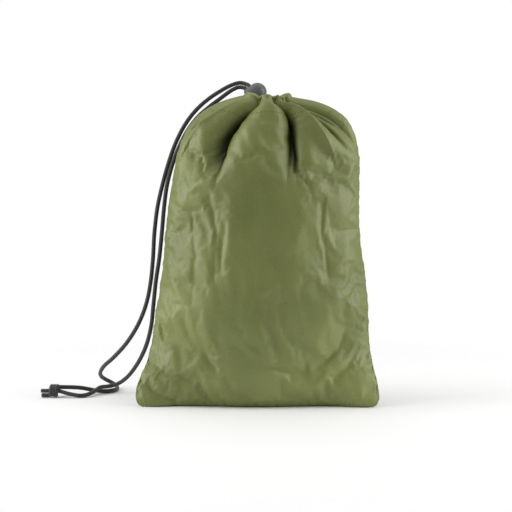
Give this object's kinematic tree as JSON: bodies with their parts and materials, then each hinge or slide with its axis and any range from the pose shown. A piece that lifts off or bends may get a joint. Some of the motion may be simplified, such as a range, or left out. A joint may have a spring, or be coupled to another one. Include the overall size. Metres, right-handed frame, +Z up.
{
  "type": "drawstring rope storage bag",
  "caption": "Upright cloth storage bag, drawn shut by a cord in its hem, with a sprung cord lock and a knotted tail on the floor beside it.",
  "frame": {"origin": "on the floor, under the middle of the standing bag", "axes": "+Z up through the gathered mouth, -Y towards the front panel, +X towards the right-hand seam"},
  "size_m": [0.3192, 0.1286, 0.3005],
  "materials": {
    "bag_cloth": "coated plain-weave nylon with a satin sheen, olive green",
    "binding_tape": "matt polyester binding tape, dark olive",
    "thread": "twisted polyester thread, dark olive",
    "drawcord": "braided polyester accessory cord, black",
    "lock_plastic": "moulded acetal, satin dark grey",
    "spring_wire": "bright spring wire"
  },
  "bodies": {
    "bag": {"front_panel": "bag_cloth", "back_panel": "bag_cloth", "front_hem": "bag_cloth", "back_hem": "bag_cloth", "left_seam_binding": "binding_tape", "right_seam_binding": "binding_tape", "bottom_seam_binding": "binding_tape", "left_seam_stitching": "thread", "right_seam_stitching": "thread", "bottom_seam_stitching": "thread", "hem_stitching": "thread", "exit_bar_tacks": "thread", "drawcord_loop": "drawcord", "outer_tail": "drawcord", "inner_tail": "drawcord", "stopper_knot": "drawcord"},
    "cord_lock": {"lock_barrel": "lock_plastic", "lock_spring": "spring_wire"},
    "plunger": {"lock_plunger": "lock_plastic"}
  },
  "joints": [
    {"name": "lock_slide", "type": "slide", "parent": "bag", "child": "cord_lock", "axis": [0.5868, -0.4924, -0.6428], "range_m": [0, 0.005]},
    {"name": "plunger_press", "type": "slide", "parent": "cord_lock", "child": "plunger", "axis": [0.7904, 0.1759, 0.5868], "range_m": [0, 0.0025], "stiffness_N_per_m": 600, "springref_m": -0.002, "deforming": ["lock_spring"]}
  ]
}
